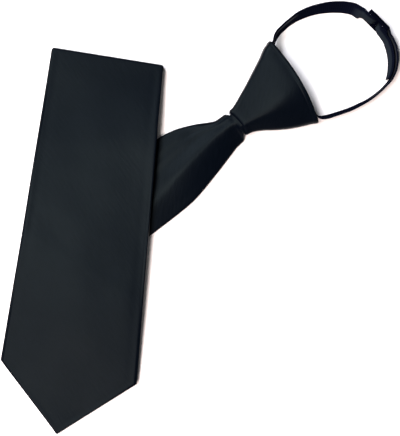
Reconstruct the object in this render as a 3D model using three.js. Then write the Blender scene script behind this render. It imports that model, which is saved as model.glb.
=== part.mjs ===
// Adjustable necktie, lying flat and face up: a satin blade folded in three, a formed knot,
// and a neck loop of two ribbons that meet in a flat three-bar slide.
import * as THREE from 'three';

// Driving dimensions, in millimetres and degrees. +Z is up and z = 0 is the surface that it lies on.
const CLOTH = 2.8;            // blade: shell, interlining and seam allowance together
const GAP = 0.3;              // clearance between two pieces, or two layers, that touch
const SEAM_DEPTH = 0.5;       // groove of the back seam
const SEAM_WIDTH = 1.6;
const WRAP = 1.6;             // knot: wall of the wrapped cloth
const KNOT_LENGTH = 43.8;
const RIBBON = 1.0;           // straps: thickness
const RIBBON_WIDTH = 10;
const SLIDE = { length: 15, height: 13.8, thick: 1.4, bar: 1.6, rail: 1.4, corner: 1.6, lean: 10 };
const TOP_FOLD_RADIUS = 2.2;  // the top fold is soft, so its layers stand a little apart

const PITCH = CLOTH + GAP;
const HALF = CLOTH / 2;
const FOLD_CORNER = 0.7;      // how far the corners of a fold are drawn in
const BOTTOM_FOLD_RADIUS = PITCH / 2;
const TO_MIDDLE = new THREE.Vector3(-0.15, -0.58, 0); // brings the middle of the outline to x = y = 0

// Where the folds lie: the foot of the knot, the bottom fold and the top fold, seen from above
const knotFoot = new THREE.Vector2(22.5, 54.8);
const stripLength = 121.4;
const topFold = new THREE.Vector2(-53.0, 91.0);
const stripHeading = new THREE.Vector2(-0.8, -0.6);
const frontHeading = new THREE.Vector2(-0.1236, -0.9923).normalize();
const bottomFold = knotFoot.clone().addScaledVector(stripHeading, stripLength);
const backHeading = topFold.clone().sub(bottomFold).normalize();
const backLength = topFold.distanceTo(bottomFold);
const SHOULDER = 180.6;       // along the front layer, from the top fold
const TIP = 217.2;

// Edges of the blade by distance along each layer; left and right as the front layer is seen
const stripRows = [
  { at: 2, left: -9.4, right: 9.6, ridgeAt: -4.5, ridge: 8.6, creaseAt: -6.8, crease: 7.4 },
  { at: 8, left: -9.5, right: 10.3, ridgeAt: -6.6, ridge: 7.0, creaseAt: -8.1, crease: 5.8 },
  { at: 12, left: -11.1, right: 11.4, ridgeAt: -7.9, ridge: 5.8, creaseAt: -9.7, crease: 4.3 },
  { at: 18, left: -14.4, right: 13.1, ridgeAt: -8.9, ridge: 4.7, creaseAt: -11.0, crease: 3.5 },
  { at: 24, left: -17.2, right: 14.8, ridgeAt: -9.6, ridge: 3.8, creaseAt: -11.7, crease: 2.9 },
  { at: 31, left: -19.8, right: 16.6, ridgeAt: -10.2, ridge: 2.9, creaseAt: -12.3, crease: 2.2 },
  { at: 39, left: -21.3, right: 18.6, ridgeAt: -9.8, ridge: 2.0, creaseAt: -12.2, crease: 1.6 },
  { at: 48, left: -22.0, right: 20.2, ridgeAt: -7.6, ridge: 1.2, creaseAt: -11.0, crease: 1.0 },
  { at: 60, left: -22.7, right: 20.8, ridgeAt: -5.0, ridge: 0.0, creaseAt: -10.0, crease: 0.0 },
  { at: 80, left: -23.6, right: 21.0, ridgeAt: -4.0, ridge: 0.0, creaseAt: -11.0, crease: 0.0 },
  { at: stripLength, left: -26.8, right: 26.8, ridgeAt: -4.0, ridge: 0.0, creaseAt: -13.0, crease: 0.0 },
];
const backRows = [
  { at: 0, left: -26.8, right: 26.8 },
  { at: backLength, left: -32.6, right: 32.6 },
];
const frontRows = [
  { at: 0, left: -32.6, right: 33.0 },
  { at: 105, left: -36.2, right: 37.0 },
  { at: SHOULDER - 2, left: -40.1, right: 40.2 },
  { at: SHOULDER + 2, left: -36.4, right: 40.2 },
  { at: TIP, left: -2.9, right: -1.9 },
];

// Knot, by distance from its foot towards the neck: half widths, height and height of its side folds
const knotRows = [
  { at: 0, left: 8.8, right: 7.8, high: 13.0, side: 5.0 },
  { at: 4, left: 9.7, right: 8.6, high: 14.0, side: 5.3 },
  { at: 10, left: 12.2, right: 11.7, high: 15.3, side: 5.8 },
  { at: 16, left: 14.8, right: 15.9, high: 16.6, side: 6.3 },
  { at: 24, left: 18.7, right: 20.7, high: 18.4, side: 6.9 },
  { at: 32, left: 22.6, right: 24.4, high: 20.2, side: 7.5 },
  { at: 39, left: 26.3, right: 26.9, high: 21.6, side: 8.0 },
  { at: 42.5, left: 27.0, right: 26.4, high: 22.0, side: 8.0 },
  { at: 46, left: 25.0, right: 24.0, high: 21.4, side: 8.0 },
];
const KNOT_CREST = 0.25;      // the crest lies this share of the half width to the right of the middle
const KNOT_FRONT_POWER = 2.7; // 2 would be an ellipse, more is boxier
const KNOT_BACK_FLAT = 0.84;  // share of the back that lies flat
const KNOT_FOOT_BOW = 1.4;    // the foot edge curves in at its middle
const KNOT_NECK_BOW = 0.0035; // the neck edge curves out, most at the left of its middle
const KNOT_NECK_BOW_AT = 14;
const KNOT_NECK_HALF = 26;

// Smallest helpers: a soft step, a smooth table look-up without overshoot, and a placed point
const smooth = (x) => {
  const c = Math.min(1, Math.max(0, x));
  return c * c * (3 - 2 * c);
};

function look(rows, column, at) {
  const last = rows.length - 1;
  const x = Math.min(rows[last].at, Math.max(rows[0].at, at));
  let k = 0;
  while (k < last - 1 && x > rows[k + 1].at) k += 1;
  const slope = (i) => (rows[i + 1][column] - rows[i][column]) / (rows[i + 1].at - rows[i].at);
  const tangent = (i) => {
    if (i === 0) return slope(0);
    if (i === last) return slope(last - 1);
    const a = slope(i - 1);
    const b = slope(i);
    return a * b > 0 ? (2 * a * b) / (a + b) : 0;
  };
  const width = rows[k + 1].at - rows[k].at;
  const t = (x - rows[k].at) / width;
  const h = t * t * (3 - 2 * t);
  const bend = width * t * (1 - t) * ((1 - t) * tangent(k) - t * tangent(k + 1));
  return rows[k][column] * (1 - h) + rows[k + 1][column] * h + bend;
}

function lookStraight(rows, column, at) {
  const last = rows.length - 1;
  const x = Math.min(rows[last].at, Math.max(rows[0].at, at));
  let k = 0;
  while (k < last - 1 && x > rows[k + 1].at) k += 1;
  const t = (x - rows[k].at) / (rows[k + 1].at - rows[k].at);
  return rows[k][column] * (1 - t) + rows[k + 1][column] * t;
}

// Each layer is a plane frame: where it starts, which way it runs, and its right-hand side
function mirrored(v, normal) {
  return v.clone().addScaledVector(normal, -2 * v.dot(normal));
}
const bottomNormal = stripHeading.clone().sub(backHeading).normalize();
const topNormal = backHeading.clone().sub(frontHeading).normalize();
const stripSide = new THREE.Vector2(0.6, -0.8);
const backSide = mirrored(stripSide, bottomNormal);
const frontSide = mirrored(backSide, topNormal);
const strip = { start: knotFoot, heading: stripHeading, side: stripSide, rows: stripRows };
const back = { start: bottomFold, heading: backHeading, side: backSide, rows: backRows };
const front = { start: topFold, heading: frontHeading, side: frontSide, rows: frontRows };

// The fold lines cross the strip askew; skew is the run along the layer for each millimetre across it
const bottomAlong = new THREE.Vector2(-bottomNormal.y, bottomNormal.x);
const topAlong = new THREE.Vector2(topNormal.y, -topNormal.x);
const bottomSkew = bottomAlong.dot(stripHeading) / bottomAlong.dot(stripSide);
const topSkew = topAlong.dot(frontHeading) / topAlong.dot(frontSide);
const SHOULDER_SKEW = 0.05;

const inLayer = (layer, x, y) => {
  const from = new THREE.Vector2(x, y).sub(layer.start);
  return { at: from.dot(layer.heading), across: from.dot(layer.side) };
};
const onLayer = (layer, at, across) => layer.start.clone()
  .addScaledVector(layer.heading, at).addScaledVector(layer.side, across);

// How far a point lies inside the edges of a layer, and beyond the bottom fold
function insideEdges(layer, x, y) {
  const { at, across } = inLayer(layer, x, y);
  const read = layer === strip ? look : lookStraight;
  return Math.min(across - read(layer.rows, 'left', at), read(layer.rows, 'right', at) - across);
}
const beyondBottomFold = (x, y) => new THREE.Vector2(x, y).sub(bottomFold).dot(bottomNormal);

// The strip is arched where it leaves the knot, with a ridge and a shallow crease beside it
function stripArch(at, across) {
  const row = {};
  for (const column of ['left', 'right', 'ridgeAt', 'ridge', 'creaseAt', 'crease']) {
    row[column] = look(stripRows, column, at);
  }
  const between = (x0, z0, x1, z1) => z0 + (z1 - z0) * smooth((across - x0) / (x1 - x0));
  if (across <= row.left || across >= row.right) return 0;
  if (across < row.creaseAt) return between(row.left, 0, row.creaseAt, row.crease);
  if (across < row.ridgeAt) return between(row.creaseAt, row.crease, row.ridgeAt, row.ridge);
  return between(row.ridgeAt, row.ridge, row.right, 0);
}

// Heights of the middle of each layer: a layer steps up, softly, over the layers under it
const BACK_STEP = 14;
const FRONT_STEP = 34;
const FRONT_EDGE_STEP = 20;
const TIP_STEP = 70;
const CLEAR_OF_EDGE = 9;      // a layer has risen in full this far before the edge of the layer under it
const TOP_FOLD_REACH = 16;    // run in which the soft top fold closes down to the layers' pitch
const FOLD_REACH = BOTTOM_FOLD_RADIUS + HALF + GAP;
function backMiddle(x, y) {
  const place = inLayer(strip, x, y);
  const over = smooth((insideEdges(strip, x, y) + CLEAR_OF_EDGE + BACK_STEP) / BACK_STEP);
  return HALF + PITCH * over + stripArch(place.at, place.across);
}
function frontMiddle(x, y) {
  const place = inLayer(strip, x, y);
  const here = inLayer(front, x, y);
  const overStrip = smooth((insideEdges(strip, x, y) + CLEAR_OF_EDGE + FRONT_STEP) / FRONT_STEP);
  const overBack = smooth((insideEdges(back, x, y) + CLEAR_OF_EDGE + FRONT_EDGE_STEP) / FRONT_EDGE_STEP);
  const tipFall = smooth((FOLD_REACH + TIP_STEP - beyondBottomFold(x, y)) / TIP_STEP);
  const fold = (2 * TOP_FOLD_RADIUS - PITCH) * (1 - smooth(here.at / TOP_FOLD_REACH));
  const arch = stripArch(place.at, place.across);
  return HALF + (PITCH * overStrip + PITCH * overBack + arch) * tipFall + fold;
}

// The blade's section: distances from its edges in half thicknesses, and shares of its width between
const EDGE_STEPS = [0.15, 0.5, 1];
const FACE_SHARES = [0.125, 0.25, 0.375, 0.5, 0.625, 0.75, 0.875];
const BACK_SHARES = [0.75, 0.5, 0.25];
const EDGE_MOST = 0.11;       // where the blade is narrow, its edges and seam take no more of its width
const SEAM_MOST = 0.1;
const round = (x) => Math.sqrt(Math.max(0, 1 - (1 - Math.min(1, x)) ** 2));

// Points of one section, as { across, face } with face from -1, the back, to 1, the front
function sectionPlan(left, right, half, inner) {
  const width = right - left;
  const edge = Math.min(half, width * EDGE_MOST);
  const plan = [{ across: left, face: 0 }];
  for (const e of EDGE_STEPS) plan.push({ across: left + e * edge, face: round(e) });
  for (const across of inner) plan.push({ across, face: 1 });
  for (const e of [...EDGE_STEPS].reverse()) plan.push({ across: right - e * edge, face: round(e) });
  plan.push({ across: right, face: 0 });
  for (const e of EDGE_STEPS) plan.push({ across: right - e * edge, face: -round(e) });
  const seam = Math.min(SEAM_WIDTH, width * SEAM_MOST) / 2;
  for (const share of BACK_SHARES) {
    const across = left + share * width;
    if (share !== 0.5) plan.push({ across, face: -1 });
    if (share === 0.5) {
      plan.push({ across: across + seam, face: -1 });
      plan.push({ across, face: -1, seam: true });
      plan.push({ across: across - seam, face: -1 });
    }
  }
  for (const e of [...EDGE_STEPS].reverse()) plan.push({ across: left + e * edge, face: -round(e) });
  return plan;
}

// Knot profile at a distance from its foot, taken in from its outer face by some depth
function knotProfile(at, inset, squeeze = 1) {
  const left = (look(knotRows, 'left', at) - inset) * squeeze;
  const right = (look(knotRows, 'right', at) - inset) * squeeze;
  return {
    left, right,
    crest: -KNOT_CREST * right,
    high: look(knotRows, 'high', at) - inset,
    low: inset,
    side: look(knotRows, 'side', at),
  };
}
function knotTop(p, across) {
  const reach = across > p.crest ? p.left - p.crest : -p.right - p.crest;
  const x = (across - p.crest) / reach;
  const share = Math.max(0, 1 - Math.abs(Math.min(1, x)) ** KNOT_FRONT_POWER) ** (1 / KNOT_FRONT_POWER);
  return p.side + (p.high - p.side) * share;
}
function knotBottom(p, across) {
  const x = Math.min(1, Math.abs(across > 0 ? across / p.left : across / p.right));
  const bend = Math.max(0, (x - KNOT_BACK_FLAT) / (1 - KNOT_BACK_FLAT));
  return p.low + (p.side - p.low) * (1 - Math.sqrt(Math.max(0, 1 - bend * bend)));
}

// Gathered neck of the blade inside the knot: fills its foot and narrows towards the straps
const NECK_END = 41.5;
const NECK_SQUEEZE = 0.6;
const NECK_SQUEEZE_RUN = 24;
const NECK_DROP = 0.8;        // its front falls away from the knot's front
const NECK_DROP_RUN = 20;
const NECK_CLEAR = 0.35;      // from the wall of the knot
const NECK_OUT = 3;           // run outside the knot in which the gathers open into the strip
function neckPoint(at, planPoint, plan0, plan1) {
  const depth = -at;
  const squeeze = 1 - (1 - NECK_SQUEEZE) * smooth(depth / NECK_SQUEEZE_RUN);
  const p = knotProfile(depth, WRAP + NECK_CLEAR, squeeze);
  const share = (planPoint.across - plan0) / (plan1 - plan0);
  const across = p.left + share * (-p.right - p.left);
  const top = knotTop(p, across) - NECK_DROP * smooth(depth / NECK_DROP_RUN);
  const bottom = knotBottom(p, across);
  const middle = (top + bottom) / 2;
  const z = planPoint.face === 0 ? p.side : (planPoint.face > 0 ? top : bottom);
  const seam = planPoint.seam ? SEAM_DEPTH : 0;
  return { across: -across, z: Math.min(Math.max(z + seam, bottom), Math.max(top, middle)) };
}

// One section of each stretch of the blade, as points in space
const STRIP_FROM = stripRows[0].at;
const HOLLOW_FROM = 5;        // from here the strip opens under its arch
const HOLLOW_RUN = 20;
const BULK_MOST = 2.2;        // the gathers make the strip's edges thicker at the knot
const SLACK_SHARES = [0.2, 0.42, 0.64, 0.84];
const CREASE_MOST = 0.8;      // the rounded edge ends short of the crease
function onLayerAt(layer, at, across, z) {
  const place = onLayer(layer, at, across);
  return new THREE.Vector3(place.x, place.y, z);
}
function stripSection(at0, skew) {
  const at = Math.max(at0, STRIP_FROM);
  const left = look(stripRows, 'left', at);
  const right = look(stripRows, 'right', at);
  const ridgeAt = look(stripRows, 'ridgeAt', at);
  const creaseAt = look(stripRows, 'creaseAt', at);
  const slack = right - ridgeAt;
  const hollow = smooth((at - HOLLOW_FROM) / HOLLOW_RUN);
  const bulk = look(stripRows, 'ridge', at) * (1 - hollow) / 2;
  const edge = Math.min(HALF + Math.min(bulk, BULK_MOST), (creaseAt - left) * CREASE_MOST);
  const inner = [(left + edge + creaseAt) / 2, creaseAt, ridgeAt];
  for (const share of SLACK_SHARES) inner.push(ridgeAt + share * slack);
  const plan = sectionPlan(left, right, edge, inner);
  return plan.map((point) => {
    const where = at0 + skew * point.across;
    const arch = stripArch(Math.max(where, STRIP_FROM), point.across);
    const top = CLOTH + arch;
    const bottom = arch * hollow;
    const seam = point.seam ? SEAM_DEPTH : 0;
    const z = (top + bottom) / 2 + point.face * (top - bottom) / 2 + seam;
    const out = 1 - smooth((at0 + GAP) / NECK_OUT);
    if (out <= 0) return onLayerAt(strip, where, point.across, z);
    const neck = neckPoint(Math.min(at0, 0), point, left, right);
    const across = point.across * (1 - out) + neck.across * out;
    return onLayerAt(strip, where, across, z * (1 - out) + neck.z * out);
  });
}

// Where a section that crosses a layer askew meets the layer's edge
function edgeAt(layer, column, at, skew) {
  let across = lookStraight(layer.rows, column, at);
  for (let n = 0; n < 4; n += 1) across = lookStraight(layer.rows, column, at + skew * across);
  return across;
}
function flatSection(layer, at, skew, middle, faceUp) {
  const left = edgeAt(layer, 'left', at, skew);
  const right = edgeAt(layer, 'right', at, skew);
  const plan = sectionPlan(left, right, HALF, FACE_SHARES.map((share) => left + share * (right - left)));
  return plan.map((point) => {
    const place = onLayer(layer, at + skew * point.across, point.across);
    const depth = point.face * HALF + (point.seam ? SEAM_DEPTH : 0);
    return new THREE.Vector3(place.x, place.y, middle(place.x, place.y) + (faceUp ? depth : -depth));
  });
}

// A fold: the section turns half round about the fold line, its face inside or outside the bend
function foldSection(layer, skew, outward, turn, radius, faceOutside) {
  const inset = FOLD_CORNER * Math.sin(turn) ** 2;
  const left = edgeAt(layer, 'left', 0, skew) + inset;
  const right = edgeAt(layer, 'right', 0, skew) - inset;
  const plan = sectionPlan(left, right, HALF, FACE_SHARES.map((share) => left + share * (right - left)));
  return plan.map((point) => {
    const place = onLayer(layer, skew * point.across, point.across);
    const depth = point.face * HALF + (point.seam ? SEAM_DEPTH : 0);
    const reach = radius + (faceOutside ? depth : -depth);
    place.addScaledVector(outward, reach * Math.sin(turn));
    return new THREE.Vector3(place.x, place.y, HALF + radius - reach * Math.cos(turn));
  });
}

// A closed solid from sections of equal point counts, capped at both ends
function solidFromSections(sections) {
  const count = sections[0].length;
  const positions = [];
  const index = [];
  for (const section of sections) for (const p of section) positions.push(p.x, p.y, p.z);
  for (let k = 0; k < sections.length - 1; k += 1) {
    for (let i = 0; i < count; i += 1) {
      const a = k * count + i;
      const b = k * count + ((i + 1) % count);
      index.push(a, b, a + count, b, b + count, a + count);
    }
  }
  const cap = (section, first, flip) => {
    const middle = section.reduce((sum, p) => sum.add(p), new THREE.Vector3()).divideScalar(count);
    const hub = positions.length / 3;
    positions.push(middle.x, middle.y, middle.z);
    for (let i = 0; i < count; i += 1) {
      const a = first + i;
      const b = first + ((i + 1) % count);
      if (flip) index.push(a, b, hub);
      else index.push(b, a, hub);
    }
  };
  cap(sections[0], 0, false);
  cap(sections[sections.length - 1], (sections.length - 1) * count, true);
  return closed(positions, index);
}

// Turns the faces outward where the sections ran the other way round
function closed(positions, index) {
  let volume = 0;
  const at = (i) => new THREE.Vector3(positions[3 * i], positions[3 * i + 1], positions[3 * i + 2]);
  for (let i = 0; i < index.length; i += 3) {
    volume += at(index[i]).dot(at(index[i + 1]).cross(at(index[i + 2])));
  }
  if (volume < 0) {
    for (let i = 0; i < index.length; i += 3) [index[i], index[i + 1]] = [index[i + 1], index[i]];
  }
  const geometry = new THREE.BufferGeometry();
  geometry.setAttribute('position', new THREE.Float32BufferAttribute(positions, 3));
  geometry.setIndex(index);
  geometry.computeVertexNormals();
  return geometry;
}

// Blade: one solid from the gathered neck, along the strip, round both folds, to the tip
const NECK_STATIONS = [-NECK_END, -32, -24, -16, -9, -4, -1];
const STRIP_STATIONS = [0.5, 1.5, 2.7, 4, 5.5, 8, 11, 15, 20, 26, 33, 41, 50, 60, 72];
const STRIP_SQUARE_TO = STRIP_STATIONS[STRIP_STATIONS.length - 1];
const FOLD_STEPS = 8;
const BACK_STEPS = 12;
const FRONT_STEPS = 18;
const POINT_STEPS = 5;
const shares = (steps) => Array.from({ length: steps + 1 }, (_, k) => k / steps);
const turns = shares(FOLD_STEPS).slice(1, -1).map((share) => share * Math.PI);

function bladeGeometry() {
  const sections = [];
  for (const at of [...NECK_STATIONS, ...STRIP_STATIONS]) sections.push(stripSection(at, 0));
  for (const share of shares(POINT_STEPS).slice(1)) {
    const at = STRIP_SQUARE_TO + share * (stripLength - STRIP_SQUARE_TO);
    sections.push(stripSection(at, bottomSkew * share));
  }
  for (const turn of turns) {
    sections.push(foldSection(back, bottomSkew, bottomNormal, turn, BOTTOM_FOLD_RADIUS, false));
  }
  for (const share of shares(BACK_STEPS)) {
    const skew = bottomSkew + (topSkew - bottomSkew) * share;
    sections.push(flatSection(back, share * backLength, skew, backMiddle, false));
  }
  for (const turn of turns) {
    sections.push(foldSection(front, topSkew, topNormal, turn, TOP_FOLD_RADIUS, true));
  }
  for (const share of shares(FRONT_STEPS)) {
    const skew = topSkew + (SHOULDER_SKEW - topSkew) * share;
    sections.push(flatSection(front, share * SHOULDER, skew, frontMiddle, true));
  }
  for (const share of shares(POINT_STEPS).slice(1)) {
    const at = SHOULDER + share * (TIP - SHOULDER);
    sections.push(flatSection(front, at, SHOULDER_SKEW * (1 - share), frontMiddle, true));
  }
  return solidFromSections(sections);
}

// Knot: a tapered tube of wrapped cloth with rounded rims, from its foot to its neck edge
const KNOT_SIDES = 40;
const knotRings = [
  { along: 0, inset: 0.8 }, { along: 0.006, inset: 0.25 }, { along: 0.03, inset: 0 },
  { along: 0.1, inset: 0 }, { along: 0.22, inset: 0 }, { along: 0.36, inset: 0 }, { along: 0.5, inset: 0 },
  { along: 0.64, inset: 0 }, { along: 0.78, inset: 0 }, { along: 0.88, inset: 0 }, { along: 0.96, inset: 0 },
  { along: 0.993, inset: 0.25 }, { along: 1, inset: 0.8 }, { along: 0.993, inset: 1.35 },
  { along: 0.96, inset: WRAP }, { along: 0.84, inset: WRAP }, { along: 0.64, inset: WRAP },
  { along: 0.44, inset: WRAP }, { along: 0.24, inset: WRAP }, { along: 0.1, inset: WRAP },
  { along: 0.03, inset: WRAP }, { along: 0.006, inset: 1.35 },
];
function knotGeometry() {
  const positions = [];
  const index = [];
  const neckward = stripHeading.clone().negate();
  const leftward = stripSide.clone().negate();
  for (const ring of knotRings) {
    for (let i = 0; i < KNOT_SIDES; i += 1) {
      const turn = (2 * Math.PI * i) / KNOT_SIDES;
      const c = Math.cos(turn);
      const s = Math.sin(turn);
      const share = Math.sign(c) * Math.abs(c) ** (2 / KNOT_FRONT_POWER);
      const rim = KNOT_NECK_HALF * (share > 0 ? 1 + KNOT_CREST : 1 - KNOT_CREST);
      const across0 = share * rim - KNOT_NECK_HALF * KNOT_CREST;
      const foot = 0.2 + KNOT_FOOT_BOW * (1 - share * share);
      const neck = KNOT_LENGTH - KNOT_NECK_BOW * (across0 - KNOT_NECK_BOW_AT) ** 2;
      const at = foot + ring.along * (neck - foot);
      const p = knotProfile(at, ring.inset);
      const across = p.crest + share * (share > 0 ? p.left - p.crest : p.right + p.crest);
      const z = s >= 0 ? knotTop(p, across) : knotBottom(p, across);
      const place = knotFoot.clone().addScaledVector(neckward, at).addScaledVector(leftward, across);
      positions.push(place.x, place.y, z);
    }
  }
  const rings = knotRings.length;
  for (let k = 0; k < rings; k += 1) {
    const next = (k + 1) % rings;
    for (let i = 0; i < KNOT_SIDES; i += 1) {
      const j = (i + 1) % KNOT_SIDES;
      const a = k * KNOT_SIDES + i;
      const b = k * KNOT_SIDES + j;
      const c = next * KNOT_SIDES + i;
      const d = next * KNOT_SIDES + j;
      index.push(a, b, c, b, d, c);
    }
  }
  return closed(positions, index);
}

const loopCentre = new THREE.Vector2(80, 92);

// Slide: stands on edge at the upper right of the loop, leaning out
const slideAt = new THREE.Vector2(102.2, 112.8);
const slideAlong = new THREE.Vector2(1, -1).normalize();
const slideOut = new THREE.Vector2(1, 1).normalize();
const bySlide = (along, out) => {
  const place = slideAt.clone().addScaledVector(slideAlong, along).addScaledVector(slideOut, out);
  return { x: place.x, y: place.y };
};
const STRAP_IN_SLIDE = SLIDE.rail + GAP + 0.2;

// Straps: the lower edge of each ribbon as it stands on the surface, its height there and its lean outward
const leanAtStrap = STRAP_IN_SLIDE * Math.tan(THREE.MathUtils.degToRad(SLIDE.lean));
const inSlide = (along, out) => ({
  ...bySlide(along, out + leanAtStrap), rise: STRAP_IN_SLIDE, lean: SLIDE.lean, outward: slideOut,
});
const leftStrapRows = [
  { x: 41.6, y: 89.6, rise: 2.9, lean: 0 }, { x: 43.2, y: 95.2, rise: 2.9, lean: 4 },
  { x: 44.2, y: 100.5, rise: 3.0, lean: 7 }, { x: 44.4, y: 104.8, rise: 1.2, lean: 10 },
  { x: 46.4, y: 107.7, rise: 0, lean: 10 }, { x: 50.9, y: 112.0, rise: 0, lean: 10 },
  { x: 54.1, y: 114.3, rise: 0, lean: 12 }, { x: 58.35, y: 116.6, rise: 0, lean: 15 },
  { x: 64.1, y: 118.9, rise: 0, lean: 19 }, { x: 70.8, y: 120.2, rise: 0, lean: 22.5 },
  { x: 76.6, y: 120.8, rise: 0, lean: 24 }, { x: 81.5, y: 120.9, rise: 0.1, lean: 25 },
  { x: 86.6, y: 120.1, rise: 0.6, lean: 26 }, { x: 91.7, y: 118.1, rise: 1.4, lean: 25 },
  { ...bySlide(-9.7, -1.7), rise: STRAP_IN_SLIDE, lean: 17 },
  inSlide(-7.9, -1.55), inSlide(-6.6, -1.55), inSlide(-5.2, -1.35), inSlide(-3.4, 0), inSlide(-1.5, 1.3),
  inSlide(0, 1.55), inSlide(1.5, 1.25), inSlide(2.5, 0), inSlide(3.2, -1.4), inSlide(4.4, -2.5),
  inSlide(6.7, -2.9), { ...bySlide(9.2, -2.85), rise: 1.4, lean: SLIDE.lean },
  { x: 108.5, y: 102.5, rise: 0.6, lean: 11 }, { x: 110.1, y: 97.8, rise: 0, lean: 12 },
  { x: 110.9, y: 91.9, rise: 0, lean: 12 }, { x: 110.6, y: 86.9, rise: 0, lean: 9 },
  { x: 110.1, y: 83.6, rise: 0, lean: 6 }, { x: 109.0, y: 80.8, rise: 0, lean: 3 },
];
const rightStrapRows = [
  inSlide(9.9, -1.45), inSlide(8.2, -1.5), inSlide(6.7, -1.55), inSlide(5.15, -1.25), inSlide(4.85, 0),
  inSlide(5.15, 1.25), inSlide(6.7, 1.5), inSlide(8.4, 1.1),
  { ...bySlide(10.1, 0.05), rise: 1.5, lean: SLIDE.lean },
  { x: 110.3, y: 103.3, rise: 0.6, lean: 12 }, { x: 111.8, y: 98.3, rise: 0, lean: 12 },
  { x: 112.65, y: 92.1, rise: 0, lean: 12 }, { x: 112.3, y: 86.8, rise: 0, lean: 9 },
  { x: 111.55, y: 83.2, rise: 0, lean: 6 }, { x: 110.6, y: 80.7, rise: 0, lean: 3 },
  { x: 108.9, y: 78.5, rise: 0, lean: 2 }, { x: 106.85, y: 76.3, rise: 0, lean: 1 },
  { x: 104.3, y: 74.0, rise: 0, lean: 1 }, { x: 101.1, y: 71.5, rise: 0, lean: 2 },
  { x: 97.2, y: 69.05, rise: 0, lean: 3.5 }, { x: 92.15, y: 66.7, rise: 0, lean: 6 },
  { x: 86.7, y: 64.3, rise: 0, lean: 8 }, { x: 79.2, y: 61.9, rise: 0, lean: 11 },
  { x: 74.2, y: 60.4, rise: 0.9, lean: 13 }, { x: 70.2, y: 60.0, rise: 2.8, lean: 9 },
  { x: 66.0, y: 59.9, rise: 2.8, lean: 4 }, { x: 61.6, y: 60.0, rise: 2.8, lean: 0 },
];

// A ribbon on edge: it leans away from the middle of the loop, or as the slide does
const STRAP_STEPS = 3;
const STRAP_CHAMFER = 0.3;    // share of its thickness
const STRAP_RISE = 0.05;
const leanOf = (row) => {
  const outward = row.outward ?? new THREE.Vector2(row.x, row.y).sub(loopCentre).normalize();
  return new THREE.Vector3(outward.x, outward.y, 0).multiplyScalar(row.lean);
};
function strapGeometry(rows) {
  const through = (make) => new THREE.CatmullRomCurve3(rows.map(make), false, 'catmullrom', 0.5);
  const route = through((row) => new THREE.Vector3(row.x, row.y, row.rise));
  const leans = through(leanOf);
  const chamfer = RIBBON * STRAP_CHAMFER;
  const corners = [
    [-RIBBON / 2, chamfer], [-RIBBON / 2 + chamfer, 0], [RIBBON / 2 - chamfer, 0], [RIBBON / 2, chamfer],
    [RIBBON / 2, RIBBON_WIDTH - chamfer], [RIBBON / 2 - chamfer, RIBBON_WIDTH],
    [-RIBBON / 2 + chamfer, RIBBON_WIDTH], [-RIBBON / 2, RIBBON_WIDTH - chamfer],
  ];
  const sections = [];
  for (const share of shares(STRAP_STEPS * (rows.length - 1))) {
    const place = route.getPoint(share);
    const heading = route.getTangent(share);
    const leaning = leans.getPoint(share);
    const angle = THREE.MathUtils.degToRad(leaning.length());
    const up = leaning.normalize().multiplyScalar(Math.sin(angle)).setZ(Math.cos(angle));
    const thick = new THREE.Vector3().crossVectors(up, heading).normalize();
    place.z += RIBBON / 2 * Math.abs(thick.z) + STRAP_RISE;
    sections.push(corners.map(([across, high]) => place.clone()
      .addScaledVector(thick, across).addScaledVector(up, high)));
  }
  return solidFromSections(sections);
}

// The slide's slots are a little lower at its middle bar
const RAIL_SWELL = 0.1;
function slideGeometry() {
  const w = SLIDE.length / 2;
  const h = SLIDE.height;
  const r = SLIDE.corner;
  const outline = new THREE.Shape();
  outline.absarc(w - r, r, r, -Math.PI / 2, 0, false);
  outline.absarc(w - r, h - r, r, 0, Math.PI / 2, false);
  outline.absarc(-w + r, h - r, r, Math.PI / 2, Math.PI, false);
  outline.absarc(-w + r, r, r, Math.PI, 1.5 * Math.PI, false);
  const slotEnd = w - SLIDE.bar;
  for (const side of [-1, 1]) {
    const slot = new THREE.Path();
    slot.moveTo(side * SLIDE.bar / 2, SLIDE.rail + RAIL_SWELL);
    slot.lineTo(side * SLIDE.bar / 2, h - SLIDE.rail - RAIL_SWELL);
    slot.lineTo(side * slotEnd, h - SLIDE.rail);
    slot.lineTo(side * slotEnd, SLIDE.rail);
    outline.holes.push(slot);
  }
  const solid = { depth: SLIDE.thick, bevelEnabled: false, curveSegments: 4 };
  return new THREE.ExtrudeGeometry(outline, solid).translate(0, 0, -SLIDE.thick / 2);
}

// Each piece as a named mesh
function piece(name, geometry, color, roughness) {
  const mesh = new THREE.Mesh(geometry, new THREE.MeshStandardMaterial({ color, roughness, metalness: 0 }));
  mesh.name = name;
  return mesh;
}

const slide = piece('slider', slideGeometry(), 0x141417, 0.35);
const lean = THREE.MathUtils.degToRad(SLIDE.lean);
const slideX = new THREE.Vector3(slideAlong.x, slideAlong.y, 0);
const slideY = new THREE.Vector3(slideOut.x * Math.sin(lean), slideOut.y * Math.sin(lean), Math.cos(lean));
const slideZ = new THREE.Vector3().crossVectors(slideX, slideY).normalize();
slide.quaternion.setFromRotationMatrix(new THREE.Matrix4().makeBasis(slideX, slideY, slideZ));
slide.position.set(slideAt.x, slideAt.y, SLIDE.thick / 2 * Math.sin(lean) + STRAP_RISE);

const necktie = new THREE.Group();
necktie.add(
  piece('blade', bladeGeometry(), 0x26292d, 0.55),
  piece('knot', knotGeometry(), 0x26292d, 0.55),
  piece('strap_left', strapGeometry(leftStrapRows), 0x1b1d22, 0.6),
  piece('strap_right', strapGeometry(rightStrapRows), 0x1b1d22, 0.6),
  slide,
);
for (const mesh of necktie.children) mesh.position.add(TO_MIDDLE);
export default necktie;
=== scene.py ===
# Black satin pre-tied necktie with an adjustable neck loop, lying folded and face up on a pale
# table, seen from straight above in soft light from the left.
import math

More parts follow.
